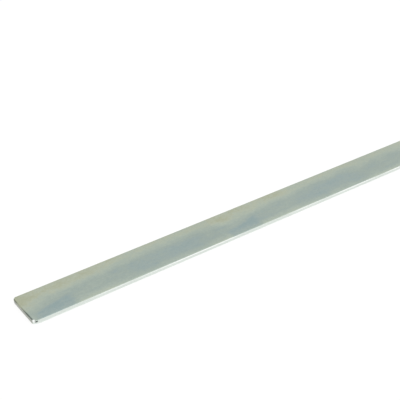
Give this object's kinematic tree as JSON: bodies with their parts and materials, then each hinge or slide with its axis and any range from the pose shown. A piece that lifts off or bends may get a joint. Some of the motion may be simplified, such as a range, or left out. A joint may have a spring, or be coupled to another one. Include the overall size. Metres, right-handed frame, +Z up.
{
  "type": "steel flat bar",
  "caption": "Straight zinc-plated steel flat bar of plain rectangular section, with softened long edges and press-parted ends.",
  "frame": {"origin": "middle of the underside: the bottom centre of the bar's bounding box", "axes": "+X along the bar's length, +Y across its width, +Z up through its thickness, from the underside to the face that the parting tool came down on"},
  "size_m": [1, 0.025, 0.003],
  "materials": {
    "zinc_plated_steel": "steel with a thin passivated zinc plating, satin, pale blue-grey with a faint olive tint in places"
  },
  "bodies": {
    "root": {"flat_bar": "zinc_plated_steel"}
  },
  "joints": []
}
